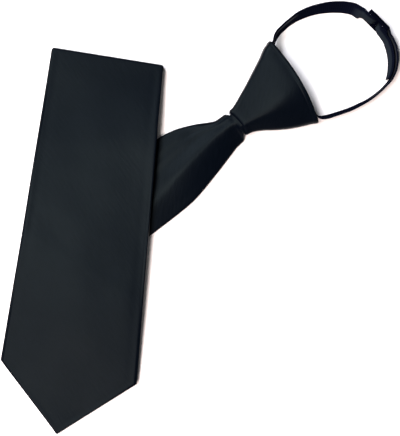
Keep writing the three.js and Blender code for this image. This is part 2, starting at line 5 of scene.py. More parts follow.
import bmesh
import bpy
import numpy as np
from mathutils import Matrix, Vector

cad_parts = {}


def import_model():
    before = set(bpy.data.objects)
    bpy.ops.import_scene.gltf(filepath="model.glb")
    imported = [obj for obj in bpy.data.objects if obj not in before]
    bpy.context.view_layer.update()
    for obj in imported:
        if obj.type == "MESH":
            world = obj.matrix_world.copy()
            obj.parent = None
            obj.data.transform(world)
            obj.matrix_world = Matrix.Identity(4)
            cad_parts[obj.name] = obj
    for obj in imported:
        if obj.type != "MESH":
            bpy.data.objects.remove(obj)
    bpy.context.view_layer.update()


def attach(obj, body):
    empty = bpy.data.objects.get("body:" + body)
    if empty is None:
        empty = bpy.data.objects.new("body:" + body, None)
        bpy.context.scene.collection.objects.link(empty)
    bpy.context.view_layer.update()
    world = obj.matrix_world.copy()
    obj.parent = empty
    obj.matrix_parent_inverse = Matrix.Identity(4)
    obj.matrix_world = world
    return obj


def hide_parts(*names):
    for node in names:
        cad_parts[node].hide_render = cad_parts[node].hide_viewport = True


# Sizes in millimetres, as in the part's source; pieces and materials are made in metres
MM = 0.001
CLOTH = 2.8
GAP = 0.3
WRAP = 1.6
KNOT_LENGTH = 43.8
RIBBON = 0.8
RIBBON_WIDTH = 10.0
TOP_FOLD_RADIUS = 2.2
PITCH = CLOTH + GAP
HALF = CLOTH / 2
BOTTOM_FOLD_RADIUS = PITCH / 2
FOLD_CORNER = 0.7


# The shift that brings the middle of the outline to the origin
TO_MIDDLE = np.array([-0.15, -0.58, 0.0])


def vector(x, y):
    return np.array([x, y], float)


def unit(v):
    return v / np.linalg.norm(v)


# Where the folds lie, seen from above
KNOT_FOOT = vector(22.5, 54.8)
STRIP_LENGTH = 121.4
TOP_FOLD = vector(-53.0, 91.0)
STRIP_HEADING = vector(-0.8, -0.6)
STRIP_SIDE = vector(0.6, -0.8)
FRONT_HEADING = unit(vector(-0.1236, -0.9923))
BOTTOM_FOLD = KNOT_FOOT + STRIP_HEADING * STRIP_LENGTH
BACK_HEADING = unit(TOP_FOLD - BOTTOM_FOLD)
BACK_LENGTH = float(np.linalg.norm(TOP_FOLD - BOTTOM_FOLD))
SHOULDER = 180.6
TIP = 217.2


def table(columns, rows):
    return dict(zip(columns.split(), np.array(rows, float).T))


# Edges of the blade by distance along each layer, with the strip's ridge and crease
STRIP_ROWS = table("at left right edge crease_at crease lip_at lip crest_at crest", [
    (2, -9.4, 9.6, 4.6, -7.6, 6.0, -5.6, 7.0, -2.0, 7.7),
    (8, -9.5, 10.3, 4.0, -7.9, 5.1, -6.0, 5.8, -2.2, 6.8),
    (12, -11.1, 11.4, 3.4, -9.2, 4.3, -7.0, 4.9, -2.2, 6.1),
    (18, -14.4, 13.1, 2.6, -11.4, 3.3, -8.4, 3.9, -1.4, 5.4),
    (24, -17.2, 14.8, 1.9, -12.6, 2.6, -9.2, 3.2, -0.4, 5.0),
    (31, -19.8, 16.6, 1.4, -13.4, 2.3, -8.8, 2.8, 0.6, 4.6),
    (39, -21.3, 18.6, 0.8, -13.6, 1.7, -8.4, 2.2, 2.0, 4.1),
    (48, -22.0, 20.2, 0.3, -12.4, 1.1, -8.0, 1.5, 3.6, 3.3),
    (60, -22.7, 20.8, 0.0, -11.0, 0.7, -6.0, 0.9, 6.4, 2.2),
    (80, -23.6, 21.0, 0.0, -11.0, 0.5, -4.0, 0.6, 9.0, 1.4),
    (105, -25.7, 25.0, 0.0, -12.0, 0.2, -4.0, 0.3, 9.0, 0.5),
    (STRIP_LENGTH, -26.8, 26.8, 0.0, -13.0, 0.0, -4.0, 0.0, 9.0, 0.0),
])
BACK_ROWS = table("at left right", [(0, -26.8, 26.8), (BACK_LENGTH, -32.6, 32.6)])
FRONT_ROWS = table("at left right", [
    (0, -32.6, 33.0),
    (105, -36.2, 37.0),
    (SHOULDER - 2, -40.1, 40.2),
    (SHOULDER + 2, -36.4, 40.2),
    (TIP, -2.9, -1.9),
])

# Knot by distance from its foot: half widths, height, height of its side folds, place of its
# crest as a share of the right half width, and roundness of that crest
KNOT_ROWS = table("at left right high side crest round", [
    (0, 8.8, 7.8, 13.2, 8.4, 0.28, 0.25),
    (4, 9.7, 8.6, 14.2, 8.6, 0.28, 0.25),
    (10, 12.2, 11.7, 15.8, 8.4, 0.28, 0.25),
    (16, 14.8, 15.9, 17.3, 7.9, 0.26, 0.3),
    (24, 18.7, 20.7, 19.0, 7.4, 0.22, 0.4),
    (32, 22.6, 24.4, 20.2, 7.5, 0.16, 0.6),
    (39, 26.3, 26.9, 20.75, 8.0, 0.1, 0.9),
    (42.5, 27.0, 26.4, 20.85, 8.0, 0.08, 1.0),
    (46, 25.0, 24.0, 20.85, 8.0, 0.08, 1.0),
])
KNOT_BACK_FLAT = 0.84


# Table look-ups: a smooth one without overshoot and a straight one
def smooth(x):
    c = np.clip(x, 0.0, 1.0)
    return c * c * (3 - 2 * c)


def look(rows, column, at):
    xs = rows["at"]
    ys = rows[column]
    slope = np.diff(ys) / np.diff(xs)
    tangent = np.empty(len(xs))
    tangent[0] = slope[0]
    tangent[-1] = slope[-1]
    before = slope[:-1]
    after = slope[1:]
    same_way = before * after > 0
    total = np.where(same_way, before + after, 1.0)
    tangent[1:-1] = np.where(same_way, 2 * before * after / total, 0.0)
    x = np.clip(at, xs[0], xs[-1])
    k = np.clip(np.searchsorted(xs, x, side="left") - 1, 0, len(xs) - 2)
    width = xs[k + 1] - xs[k]
    t = (x - xs[k]) / width
    h = t * t * (3 - 2 * t)
    bend = width * t * (1 - t) * ((1 - t) * tangent[k] - t * tangent[k + 1])
    return ys[k] * (1 - h) + ys[k + 1] * h + bend


def look_straight(rows, column, at):
    return np.interp(at, rows["at"], rows[column])


# Layers of the blade as plane frames, each the mirror image of the last about its fold
def mirrored(v, normal):
    return v - 2 * np.dot(v, normal) * normal


BOTTOM_NORMAL = unit(STRIP_HEADING - BACK_HEADING)
TOP_NORMAL = unit(BACK_HEADING - FRONT_HEADING)
BACK_SIDE = mirrored(STRIP_SIDE, BOTTOM_NORMAL)
FRONT_SIDE = mirrored(BACK_SIDE, TOP_NORMAL)
STRIP = {"start": KNOT_FOOT, "heading": STRIP_HEADING, "side": STRIP_SIDE, "rows": STRIP_ROWS}
BACK = {"start": BOTTOM_FOLD, "heading": BACK_HEADING, "side": BACK_SIDE, "rows": BACK_ROWS}
FRONT = {"start": TOP_FOLD, "heading": FRONT_HEADING, "side": FRONT_SIDE, "rows": FRONT_ROWS}
BOTTOM_ALONG = vector(-BOTTOM_NORMAL[1], BOTTOM_NORMAL[0])
TOP_ALONG = vector(TOP_NORMAL[1], -TOP_NORMAL[0])
BOTTOM_SKEW = float(np.dot(BOTTOM_ALONG, STRIP_HEADING) / np.dot(BOTTOM_ALONG, STRIP_SIDE))
TOP_SKEW = float(np.dot(TOP_ALONG, FRONT_HEADING) / np.dot(TOP_ALONG, FRONT_SIDE))
SHOULDER_SKEW = 0.05


def in_layer(layer, places):
    out = places - layer["start"]
    return out @ layer["heading"], out @ layer["side"]


def on_layer(layer, at, across):
    at = np.asarray(at, float)[:, None]
    across = np.asarray(across, float)[:, None]
    return layer["start"] + at * layer["heading"] + across * layer["side"]


def inside_edges(layer, places):
    at, across = in_layer(layer, places)
    read = look if layer is STRIP else look_straight
    return np.minimum(
        across - read(layer["rows"], "left", at), read(layer["rows"], "right", at) - across
    )


# The strip is arched where it leaves the knot: a wing up to a crease, the crease's lip, a slow
# rise to the crest, then a long fall to the right edge, all of it slowly flatter down the strip
CREST_ROUND = 0.25


def strip_arch(at, across):
    row = {name: look(STRIP_ROWS, name, at) for name in STRIP_ROWS if name != "at"}

    def between(x0, z0, x1, z1):
        return z0 + (z1 - z0) * smooth((across - x0) / (x1 - x0))

    u = np.clip((across - row["crest_at"]) / (row["right"] - row["crest_at"]), 0, 1)
    fall = (1 + CREST_ROUND) * u * u / (u + CREST_ROUND)
    return np.select([
        across < row["left"],
        across > row["right"],
        across < row["crease_at"],
        across < row["lip_at"],
        across < row["crest_at"],
    ], [
        row["edge"],
        0.0,
        between(row["left"], row["edge"], row["crease_at"], row["crease"]),
        between(row["crease_at"], row["crease"], row["lip_at"], row["lip"]),
        between(row["lip_at"], row["lip"], row["crest_at"], row["crest"]),
    ], row["crest"] * (1 - fall))


# Heights of the middle of each layer: a layer steps up, softly, over the layers under it
BACK_STEP = 14.0
FRONT_STEP = 80.0
FRONT_EDGE_STEP = 70.0
TIP_STEP = 90.0
CLEAR_OF_EDGE = 9.0
EASE_SHARE = 0.5
TOP_FOLD_REACH = 60.0
CLEAR_OF_FOLD = 52.0
FOLD_REACH = BOTTOM_FOLD_RADIUS + HALF + GAP
FRONT_ARCH_OUT = 42.0
FRONT_ARCH_SHARE = 0.85


def step_over(layer, places, step):
    return smooth((inside_edges(layer, places) + CLEAR_OF_EDGE + step) / step)


def back_middle(places):
    rise = PITCH + strip_arch(*in_layer(STRIP, places))
    return HALF + rise * step_over(STRIP, places, BACK_STEP)


def ease(x):
    c = np.clip(x, 0.0, 1.0)
    return c + (smooth(c) - c) * EASE_SHARE


def front_arch(places):
    at, across = in_layer(STRIP, places)
    crest = look(STRIP_ROWS, "crest", at)
    left = look(STRIP_ROWS, "left", at) - FRONT_ARCH_OUT
    right = look(STRIP_ROWS, "right", at) + FRONT_ARCH_OUT
    share = np.clip((across - left) / (right - left), 0, 1)
    return FRONT_ARCH_SHARE * crest * np.sin(np.pi * share) ** 2


def front_middle(places):
    at, _ = in_layer(FRONT, places)
    beyond = (places - BOTTOM_FOLD) @ BOTTOM_NORMAL
    tip_fall = ease((FOLD_REACH + TIP_STEP - beyond) / TIP_STEP)
    fold = (2 * TOP_FOLD_RADIUS - PITCH) * (1 - smooth(at / TOP_FOLD_REACH))
    over_strip = step_over(STRIP, places, FRONT_STEP) * smooth(at / CLEAR_OF_FOLD)
    over = over_strip + step_over(BACK, places, FRONT_EDGE_STEP)
    return HALF + (PITCH * over + front_arch(places)) * tip_fall + fold


# Section of the blade: round edges, a face with its points closer at the edges, a back with a seam.
# An edge and the seam each take at most a share of its width, and lap is the place on the seam.
EDGE_POINTS = 8
FACE_POINTS = 60
BACK_POINTS = 30
EDGE_MOST = 0.11
SEAM_OFFSETS = (2.0, 1.2, 0.7, 0.3, 0.0, -0.3, -0.7, -1.2, -2.0)
SEAM_WIDTH = 4.0
SEAM_MOST = 0.1
SEAM_SPACE = 0.06
NO_SEAM = 9.0


# A pressed edge or fold is squarer than a round one
PRESSED_EDGE = 0.6
PRESSED_FOLD = 0.27


def pressed(x, power):
    return np.maximum(x, 0.0) ** power


def face_shares(count):
    u = (np.arange(count) + 1) / (count + 1)
    return (u + (1 - np.cos(np.pi * u)) / 2) / 2


def section_plan(left, right, edge):
    width = right - left
    turn = np.linspace(0, np.pi / 2, EDGE_POINTS + 1)
    inward = edge * (1 - pressed(np.cos(turn), PRESSED_EDGE))
    height = pressed(np.sin(turn), PRESSED_EDGE)
    shares = face_shares(FACE_POINTS)
    inner = left + edge + shares * (width - 2 * edge)
    back = face_shares(BACK_POINTS)[::-1]
    back = back[np.abs(back - 0.5) > SEAM_SPACE]
    behind = left + edge + back * (width - 2 * edge)
    half = len(behind) // 2
    seam = np.array(SEAM_OFFSETS) * min(1.0, width * SEAM_MOST / SEAM_WIDTH)
    behind = np.concatenate([behind[:half], (left + right) / 2 + seam, behind[half:]])
    across = np.concatenate([
        left + inward, inner, right - inward[::-1], right - inward[1:], behind, left + inward[:0:-1],
    ])
    face = np.concatenate([
        height, np.ones(len(inner)), height[::-1], -height[1:], -np.ones(len(behind)), -height[:0:-1],
    ])
    lap = np.full(len(across), NO_SEAM)
    start = 3 * len(inward) - 1 + len(inner) + half
    lap[start:start + len(seam)] = SEAM_OFFSETS
    return across, face, lap


# Back seam: one folded edge laps over the other, with a fine groove between them
GROOVE_DEPTH = 0.45
GROOVE_HALF = 0.35
LAP_DEPTH = 0.35
LAP_WIDTH = 6.0


def seam_depth(lap):
    groove = GROOVE_DEPTH * np.exp(-((lap / GROOVE_HALF) ** 2))
    in_lap = (lap > 0) * (lap < LAP_WIDTH)
    return groove + LAP_DEPTH * smooth(1 - np.maximum(lap, 0) / LAP_WIDTH) * in_lap


# Rolled rims: a low swell along both edges, with a dip inside it
RIM = 0.05
RIM_AT = 2.0
RIM_HALF = 1.3
RIM_DIP = 0.7
RIM_DIP_AT = 5.2
RIM_DIP_HALF = 1.95
RIM_FULL_FROM = 20.0


def rim(across, left, right):
    inside = np.minimum(across - left, right - across)
    swell = np.exp(-(((inside - RIM_AT) / RIM_HALF) ** 2))
    dip = np.exp(-(((inside - RIM_DIP_AT) / RIM_DIP_HALF) ** 2))
    return RIM * (swell - RIM_DIP * dip) * smooth((right - left) / RIM_FULL_FROM)


# Soft padded cloth: two slow waves and a fine uneven one, each with its runs in X and Y
SLOW_WAVES = ((0.22, 19.0, 27.0, 0.6), (0.16, 9.5, -41.0, 2.1))
FINE_WAVE = 0.05
FINE_RUNS = ((5.2, 8.3, 0.0), (-21.0, 13.0, 1.0))


def waves(places):
    def wave(run_x, run_y, phase):
        return np.sin(places[:, 0] / run_x + places[:, 1] / run_y + phase)

    slow = sum(height * wave(*runs) for height, *runs in SLOW_WAVES)
    return slow + FINE_WAVE * wave(*FINE_RUNS[0]) * wave(*FINE_RUNS[1])


# One section of each stretch of the blade: points in space. The neck fills the knot, the strip is
# solid where it leaves it and hollow below from there on, and the front's waves fade at its ends.
NECK_END = 41.5
NECK_SQUEEZE = 0.6
NECK_SQUEEZE_RUN = 24.0
NECK_DROP = 0.8
NECK_DROP_RUN = 20.0
NECK_CLEAR = 0.35
NECK_OUT = 3.0
STRIP_FROM = 2.0
HOLLOW_FROM = 5.0
HOLLOW_RUN = 20.0
BULK_MOST = 2.2
CREASE_MOST = 0.8
STRIP_RIM_FROM = 54.0
STRIP_RIM_TO = 66.0
SEAM_FROM = 4.0
SEAM_RUN = 6.0
FLAT_FACE = 0.99
CALM_RUN = 30.0
CALM_WIDTH = 30.0


def knot_profile(at, inset, squeeze=1.0):
    left = (look(KNOT_ROWS, "left", at) - inset) * squeeze
    right = (look(KNOT_ROWS, "right", at) - inset) * squeeze
    return {
        "left": left,
        "right": right,
        "crest": -look(KNOT_ROWS, "crest", at) * right,
        "round": look(KNOT_ROWS, "round", at),
        "high": look(KNOT_ROWS, "high", at) - inset,
        "low": inset,
        "side": look(KNOT_ROWS, "side", at),
    }


# Front of the knot: a nearly flat face on each side of its crest, up to a pressed side fold
FACE_FALL = 0.26
FACE_ROUND = 0.32
FACE_POWER = 36.0
RIGHT_FALL = 0.74


def knot_top(p, across):
    reach = np.where(across > p["crest"], p["left"] - p["crest"], -p["right"] - p["crest"])
    x = np.minimum(1.0, np.abs((across - p["crest"]) / reach))
    to_left = across > p["crest"]
    bend = np.where(to_left, FACE_ROUND, p["round"])
    fall = np.where(to_left, FACE_FALL, RIGHT_FALL)
    face = 1 - fall * (1 + bend) * x * x / (x + bend)
    return p["side"] + (p["high"] - p["side"]) * face * np.maximum(0, 1 - x ** FACE_POWER) ** 0.5


def knot_bottom(p, across):
    x = np.minimum(1.0, np.abs(np.where(across > 0, across / p["left"], across / p["right"])))
    bend = np.maximum(0, (x - KNOT_BACK_FLAT) / (1 - KNOT_BACK_FLAT))
    return p["low"] + (p["side"] - p["low"]) * (1 - np.sqrt(np.maximum(0, 1 - bend * bend)))


def neck_point(at, across, face, left, right):
    depth = -at
    squeeze = 1 - (1 - NECK_SQUEEZE) * smooth(depth / NECK_SQUEEZE_RUN)
    p = knot_profile(depth, WRAP + NECK_CLEAR, squeeze)
    share = (across - left) / (right - left)
    place = p["left"] + share * (-p["right"] - p["left"])
    top = knot_top(p, place) - NECK_DROP * smooth(depth / NECK_DROP_RUN)
    bottom = knot_bottom(p, place)
    middle = (top + bottom) / 2
    z = np.where(face == 0, p["side"], np.where(face > 0, top, bottom))
    return -place, np.clip(z, bottom, np.maximum(top, middle))


def strip_section(at0, skew):
    at = max(at0, STRIP_FROM)
    row = {name: float(look(STRIP_ROWS, name, at)) for name in STRIP_ROWS if name != "at"}
    left = row["left"]
    right = row["right"]
    hollow = float(smooth((at - HOLLOW_FROM) / HOLLOW_RUN))
    bulk = min(row["crest"] * (1 - hollow) / 2, BULK_MOST)
    edge = min(HALF + bulk, (row["crease_at"] - left) * CREASE_MOST, (right - left) * EDGE_MOST)
    across, face, lap = section_plan(left, right, edge)
    where = at0 + skew * across
    arch = strip_arch(np.maximum(where, STRIP_FROM), across)
    rims = rim(across, left, right) * (face > 0)
    top = CLOTH + arch + rims * smooth((STRIP_RIM_TO - at0) / (STRIP_RIM_TO - STRIP_RIM_FROM))
    bottom = arch * hollow
    z = (top + bottom) / 2 + face * (top - bottom) / 2
    z = z + seam_depth(lap) * smooth((at0 - SEAM_FROM) / SEAM_RUN)
    out = 1 - float(smooth((at0 + GAP) / NECK_OUT))
    if out > 0:
        neck_across, neck_z = neck_point(min(at0, 0.0), across, face, left, right)
        across = across * (1 - out) + neck_across * out
        z = z * (1 - out) + neck_z * out
    return np.column_stack([on_layer(STRIP, where, across), z]), across


# Where a skewed section meets the edge of its layer, found in a few rounds
EDGE_ROUNDS = 4


def edge_at(layer, column, at, skew):
    across = look_straight(layer["rows"], column, at)
    for _ in range(EDGE_ROUNDS):
        across = look_straight(layer["rows"], column, at + skew * across)
    return float(across)


def flat_section(layer, at, skew, middle, face_up):
    left = edge_at(layer, "left", at, skew)
    right = edge_at(layer, "right", at, skew)
    across, face, lap = section_plan(left, right, min(HALF, (right - left) * EDGE_MOST))
    places = on_layer(layer, at + skew * across, across)
    depth = face * HALF + seam_depth(lap)
    if face_up:
        calm = smooth(at / CALM_RUN) * smooth((right - left) / CALM_WIDTH)
        depth = depth + (rim(across, left, right) + waves(places) * calm) * (face > FLAT_FACE)
    z = middle(places) + (depth if face_up else -depth)
    return np.column_stack([places, z]), across


def fold_section(layer, skew, outward, turn, radius, face_outside):
    inset = FOLD_CORNER * math.sin(turn) ** 2
    left = edge_at(layer, "left", 0.0, skew) + inset
    right = edge_at(layer, "right", 0.0, skew) - inset
    across, face, lap = section_plan(left, right, HALF)
    places = on_layer(layer, skew * across, across)
    depth = face * HALF + seam_depth(lap)
    reach = radius + (depth if face_outside else -depth)
    places = places + (reach * pressed(math.sin(turn), PRESSED_FOLD))[:, None] * outward
    rise = math.copysign(pressed(abs(math.cos(turn)), PRESSED_FOLD), math.cos(turn))
    return np.column_stack([places, HALF + radius - reach * rise]), across


# Blade: sections from the gathered neck, along the strip, round both folds, to the tip. They lie
# closer beside the knot and at both ends of each fold.
STRIP_SQUARE_FROM = 0.2
STRIP_SQUARE_TO = 72.0
STRIP_CLOSER = 1.5
FOLD_SHARE = 0.999
NECK_STEPS = 14
STRIP_STEPS = 60
SKEW_STEPS = 16
FOLD_STEPS = 24
BACK_STEPS = 44
FRONT_STEPS = 96
POINT_STEPS = 26


def fold_turns():
    shares = np.linspace(0, 1, FOLD_STEPS + 1)[1:-1]
    return np.pi / 2 * (1 + FOLD_SHARE * np.sin(np.pi * (shares - 0.5)))


def blade_sections():
    for at in np.linspace(-NECK_END, -1, NECK_STEPS):
        yield strip_section(at, 0.0)
    for share in np.linspace(0, 1, STRIP_STEPS):
        square = (STRIP_SQUARE_TO - STRIP_SQUARE_FROM) * share ** STRIP_CLOSER
        yield strip_section(STRIP_SQUARE_FROM + square, 0.0)
    for share in np.linspace(0, 1, SKEW_STEPS)[1:]:
        at = STRIP_SQUARE_TO + share * (STRIP_LENGTH - STRIP_SQUARE_TO)
        yield strip_section(at, BOTTOM_SKEW * share)
    for turn in fold_turns():
        yield fold_section(BACK, BOTTOM_SKEW, BOTTOM_NORMAL, turn, BOTTOM_FOLD_RADIUS, False)
    for share in np.linspace(0, 1, BACK_STEPS):
        skew = BOTTOM_SKEW + (TOP_SKEW - BOTTOM_SKEW) * share
        yield flat_section(BACK, share * BACK_LENGTH, skew, back_middle, False)
    for turn in fold_turns():
        yield fold_section(FRONT, TOP_SKEW, TOP_NORMAL, turn, TOP_FOLD_RADIUS, True)
    for share in np.linspace(0, 1, FRONT_STEPS):
        skew = TOP_SKEW + (SHOULDER_SKEW - TOP_SKEW) * share
        yield flat_section(FRONT, share * SHOULDER, skew, front_middle, True)
    for share in np.linspace(0, 1, POINT_STEPS)[1:]:
        at = SHOULDER + share * (TIP - SHOULDER)
        yield flat_section(FRONT, at, SHOULDER_SKEW * (1 - share), front_middle, True)


# Mesh from closed sections, capped unless they run round into a ring, with a map of the cloth in
# metres across and along it
def mesh_from_sections(name, sections, closed_run=False):
    count = len(sections[0][0])
    points = np.concatenate([p for p, _ in sections]) + TO_MIDDLE
    along = np.zeros(len(sections))
    for k in range(1, len(sections)):
        step = sections[k][0].mean(0) - sections[k - 1][0].mean(0)
        along[k] = along[k - 1] + np.linalg.norm(step)
    faces = []
    maps = []
    rings = len(sections)
    last = rings if closed_run else rings - 1
    for k in range(last):
        n = (k + 1) % rings
        far = along[k] + (along[k] - along[k - 1]) if n < k else along[n]
        a = sections[k][1]
        b = sections[n][1]
        for i in range(count):
            j = (i + 1) % count
            faces.append((k * count + i, k * count + j, n * count + j, n * count + i))
            maps.append(((a[i], along[k]), (a[j], along[k]), (b[j], far), (b[i], far)))
    if not closed_run:
        first = tuple(range(count - 1, -1, -1))
        final = tuple(range((rings - 1) * count, rings * count))
        faces.extend([first, final])
        maps.append(tuple((sections[0][1][i], 0.0) for i in first))
        maps.append(tuple((sections[-1][1][i - (rings - 1) * count], along[-1]) for i in final))
    mesh = bpy.data.meshes.new(name)
    mesh.from_pydata((points * MM).tolist(), [], faces)
    cloth = mesh.uv_layers.new(name="cloth")
    flat = [value * MM for face in maps for corner in face for value in corner]
    cloth.data.foreach_set("uv", flat)
    return smooth_piece(name, mesh)


def smooth_piece(name, mesh):
    turn_outward(mesh)
    mesh.shade_smooth()
    return in_scene(name, mesh)


def turn_outward(mesh):
    body = bmesh.new()
    body.from_mesh(mesh)
    if body.calc_volume(signed=True) < 0:
        bmesh.ops.reverse_faces(body, faces=body.faces)
    body.to_mesh(mesh)
    body.free()


def in_scene(name, data):
    made = bpy.data.objects.new(name, data)
    bpy.context.scene.collection.objects.link(made)
    return made


def make_blade():
    return mesh_from_sections("tie_blade", list(blade_sections()))


# Knot: a tube of wrapped cloth, as rings round it by share of its length and inset from its
# outer face. Each rim is a rolled fold, and the rings lie closer beside the neck.
KNOT_SIDES = 144
OUTER_RINGS = (
    [(0.0, 0.8), (0.002, 0.5), (0.006, 0.25), (0.014, 0.08)]
    + [(along, 0.0) for along in np.linspace(0.028, 0.86, 40)]
    + [(along, 0.0) for along in np.linspace(0.868, 0.974, 18)]
    + [(0.986, 0.08), (0.994, 0.25), (0.998, 0.5), (1.0, 0.8)]
)
INNER_RINGS = (
    [(0.998, 1.1), (0.994, 1.35), (0.98, 1.55)]
    + [(along, WRAP) for along in np.linspace(0.96, 0.04, 20)]
    + [(0.02, 1.55), (0.006, 1.35), (0.002, 1.1)]
)


# Hem along the neck and lips along the foot and the left side fold, all proud of the face
NECK_HEM = 0.24
HEM_FROM = 2.8
HEM_STEP = 0.6
HEM_RISE = 0.13
LIP = 0.2
LIP_AT = 1.2
LIP_HALF = 0.7


def neck_hem(distance):
    step = smooth((HEM_FROM - distance) / HEM_STEP)
    return NECK_HEM * step + HEM_RISE * np.clip(HEM_FROM - HEM_STEP - distance, 0, None)


def lip(distance):
    return LIP * np.exp(-(((distance - LIP_AT) / LIP_HALF) ** 2))


# Neither rim is straight: the foot is set back in its middle and the neck falls away to its right
KNOT_SPACING_POWER = 2.7
KNOT_FOOT_AT = 0.2
KNOT_FOOT_BOW = 1.4
KNOT_NECK_BOW = 0.0035
KNOT_NECK_BOW_AT = 14.0
KNOT_NECK_HALF = 26.0


def make_knot():
    neckward = -STRIP_HEADING
    leftward = -STRIP_SIDE
    turn = 2 * np.pi * np.arange(KNOT_SIDES) / KNOT_SIDES
    c = np.cos(turn)
    s = np.sin(turn)
    share = np.sign(c) * np.abs(c) ** (2 / KNOT_SPACING_POWER)
    crest = KNOT_ROWS["crest"][-1]
    across_neck = KNOT_NECK_HALF * (share * np.where(share > 0, 1 + crest, 1 - crest) - crest)
    foot = KNOT_FOOT_AT + KNOT_FOOT_BOW * (1 - share * share)
    neck = KNOT_LENGTH - KNOT_NECK_BOW * (across_neck - KNOT_NECK_BOW_AT) ** 2
    sections = []
    for along, inset in OUTER_RINGS + INNER_RINGS:
        at = foot + along * (neck - foot)
        outside = inset < WRAP / 2
        proud = (lip(at - foot) + neck_hem(neck - at)) * (s > 0) if outside else 0.0
        p = knot_profile(at, inset - proud)
        reach = np.where(share > 0, p["left"] - p["crest"], p["right"] + p["crest"])
        across = p["crest"] + share * reach
        z = np.where(s >= 0, knot_top(p, across), knot_bottom(p, across))
        if outside:
            z = z + lip(p["left"] - across) * (s > 0)
        place = KNOT_FOOT + at[:, None] * neckward + across[:, None] * leftward
        sections.append((np.column_stack([place, z]), across))
    return mesh_from_sections("tie_knot", sections, closed_run=True)


# Straps: where the lower edge of each ribbon lies, its height above the table and its lean
LOOP_CENTRE = vector(80, 92)
SLIDE_ALONG = unit(vector(1, -1))
SLIDE_OUT = unit(vector(1, 1))
SLIDE_SET_IN = 0.65
SLIDE_SET_BACK = 0.3
SLIDE_AT = vector(102.2, 112.8) - SLIDE_SET_IN * SLIDE_OUT - SLIDE_SET_BACK * SLIDE_ALONG
SLIDE_LEAN = 12.0
SLIDE_RAIL = 1.4
STRAP_CLEAR = 0.2
STRAP_IN_SLIDE = SLIDE_RAIL + GAP + STRAP_CLEAR
LEAN_AT_STRAP = STRAP_IN_SLIDE * math.tan(math.radians(SLIDE_LEAN))
STRAP_RISE = 0.05
SLIDE_RISE = 0.3


# A place beside the loop, one beside the slide and one in the slide's slots
def standing(x, y, rise, lean):
    return (x, y, rise, lean, unit(vector(x, y) - LOOP_CENTRE))


def by_slide(along, out, rise, lean):
    place = SLIDE_AT + along * SLIDE_ALONG + out * SLIDE_OUT
    return standing(place[0], place[1], rise, lean)


def in_slide(along, out):
    place = SLIDE_AT + along * SLIDE_ALONG + (out + LEAN_AT_STRAP) * SLIDE_OUT
    return (place[0], place[1], STRAP_IN_SLIDE, SLIDE_LEAN, SLIDE_OUT)


LEFT_STRAP = [
    standing(41.6, 89.6, 2.9, 0), standing(42.8, 95.0, 2.9, 2), standing(43.5, 99.4, 3.0, 8),
    standing(44.5, 102.9, 1.9, 9), standing(45.8, 105.6, 0.9, 12.5), standing(47.5, 108.1, 0.2, 14),
    standing(49.9, 110.35, 0, 14), standing(52.1, 112.4, 0, 14), standing(54.7, 114.15, 0, 15.5),
    standing(57.2, 115.65, 0, 18), standing(59.9, 116.85, 0, 21), standing(64.7, 118.65, 0, 23.5),
    standing(69.8, 119.9, 0, 25), standing(74.8, 120.5, 0, 28), standing(79.5, 120.65, 0, 30),
    standing(84.4, 120.35, 0.2, 31), standing(88.8, 119.25, 0.8, 32),
    standing(91.9, 117.15, 1.4, 33), by_slide(-8.9, -2.0, 1.8, 23), in_slide(-6.7, -1.3),
    in_slide(-5.2, -1.1), in_slide(-3.6, -0.85), in_slide(-2.4, -0.55), in_slide(-1.75, 0),
    in_slide(-1.2, 0.9), in_slide(0, 1.3), in_slide(1.2, 0.9), in_slide(1.75, 0),
    in_slide(2.3, -0.5), in_slide(3.2, -0.95), in_slide(4.4, -1.85), in_slide(6.7, -2.2),
    by_slide(8.8, -2.05, 1.5, 12), by_slide(11.0, -2.4, 0.9, 13), standing(108.5, 100.75, 0.3, 14),
    standing(109.4, 98.2, 0, 14), standing(110.3, 93.1, 0, 13), standing(110.3, 87.9, 0, 10.5),
    standing(109.95, 84.65, 0, 7), standing(109.15, 81.45, 0, 3),
]
RIGHT_STRAP = [
    in_slide(8.7, -1.15), in_slide(7.8, -1.25), in_slide(6.7, -1.25), in_slide(5.2, -1.05),
    in_slide(4.45, -0.6), in_slide(4.25, 0), in_slide(4.45, 0.6), in_slide(5.2, 1.05),
    in_slide(6.7, 1.25), in_slide(8.4, 0.7), by_slide(10.1, 0.15, 1.5, 11),
    standing(110.1, 103.3, 0.6, 12.5), standing(112.05, 98.5, 0, 13), standing(112.75, 92.1, 0, 12.5),
    standing(112.4, 86.75, 0, 9.5), standing(111.5, 83.2, 0, 6.5), standing(110.5, 80.7, 0, 5),
    standing(108.7, 78.6, 0, 4), standing(106.7, 76.45, 0, 4), standing(104.15, 74.2, 0, 4.5),
    standing(100.9, 71.75, 0, 6), standing(97.05, 69.3, 0, 7.5), standing(92.0, 66.95, 0, 10),
    standing(86.6, 64.6, 0, 12), standing(79.15, 62.15, 0.1, 13.5), standing(74.4, 60.75, 0.6, 15),
    standing(70.6, 60.2, 1.4, 12), standing(66.6, 60.9, 1.95, 0), standing(62.6, 61.6, 1.95, 0),
]


# The curve through the rows is a uniform Catmull-Rom curve, as in the part's source
NO_LENGTH = 1e-9


def through(points, share):
    points = np.asarray(points, float)
    last = len(points) - 1
    whole = share * last
    k = min(int(math.floor(whole)), last - 1)
    t = whole - k
    p1 = points[k]
    p2 = points[k + 1]
    p0 = points[k - 1] if k > 0 else 2 * p1 - p2
    p3 = points[k + 2] if k + 2 <= last else 2 * p2 - p1
    m1 = (p2 - p0) / 2
    m2 = (p3 - p1) / 2
    square = t * t
    cube = square * t
    place = (
        (2 * cube - 3 * square + 1) * p1 + (cube - 2 * square + t) * m1
        + (3 * square - 2 * cube) * p2 + (cube - square) * m2
    )
    heading = (
        (6 * square - 6 * t) * p1 + (3 * square - 4 * t + 1) * m1
        + (6 * t - 6 * square) * p2 + (3 * square - 2 * t) * m2
    )
    return place, heading / max(np.linalg.norm(heading), NO_LENGTH)


